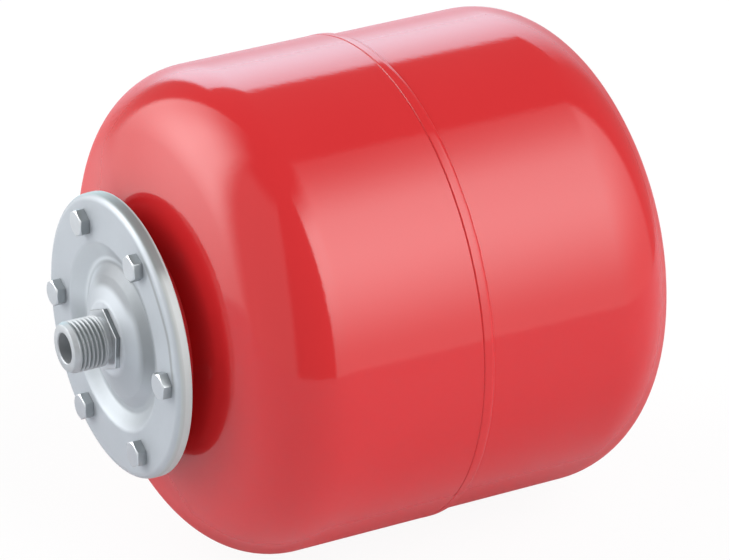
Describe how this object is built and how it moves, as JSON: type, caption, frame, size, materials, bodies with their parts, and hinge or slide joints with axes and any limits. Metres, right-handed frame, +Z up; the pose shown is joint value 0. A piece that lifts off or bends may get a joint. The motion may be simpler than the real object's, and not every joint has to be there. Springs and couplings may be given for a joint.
{
  "type": "expansion tank",
  "caption": "Small flanged expansion tank: welded red steel shell, rubber bladder, pressed cover with a threaded water nipple, air valve behind.",
  "frame": {"origin": "on the tank's axis, at the face of the nipple's hexagon collar, where the connection thread starts", "axes": "+X along the tank's axis from the water connection to the air valve, +Z up with the tank lying on its side, +Y completes the right-handed frame"},
  "size_m": [0.2648, 0.2004, 0.2004],
  "materials": {
    "painted_shell": "smooth gloss powder coat, red",
    "zinc_cover": "galvanised steel sheet, satin",
    "zinc_nipple": "turned steel, zinc plated, satin",
    "zinc_bolt": "zinc plated steel, semi-bright",
    "bladder_rubber": "moulded rubber, matt",
    "seal_rubber": "moulded rubber, matt",
    "valve_brass": "turned brass",
    "spring_steel": "drawn spring wire",
    "black_plastic": "moulded plastic, fine satin"
  },
  "bodies": {
    "tank": {"front_shell": "painted_shell", "rear_shell": "painted_shell", "seam_weld": "painted_shell", "neck_ring": "painted_shell", "neck_weld": "painted_shell", "flange_cover": "zinc_cover", "connection_nipple": "zinc_nipple", "nipple_weld": "zinc_cover", "flange_bolts": "zinc_bolt", "bladder": "bladder_rubber", "valve_bushing": "painted_shell", "bushing_weld": "painted_shell", "valve_body": "valve_brass", "valve_o_ring": "seal_rubber", "valve_core_barrel": "valve_brass", "valve_core_gasket": "seal_rubber", "valve_core_spring": "spring_steel", "dust_cap": "black_plastic", "dust_cap_seal": "seal_rubber", "protective_cap": "black_plastic"},
    "valve_pin": {"valve_core_pin": "valve_brass", "valve_poppet_seal": "seal_rubber"}
  },
  "joints": [
    {"name": "valve_pin_press", "type": "slide", "parent": "tank", "child": "valve_pin", "axis": [-1, 0, 0], "range_m": [0, 0.0012], "stiffness_N_per_m": 1000, "springref_m": -0.001, "deforming": ["valve_core_spring"]}
  ]
}
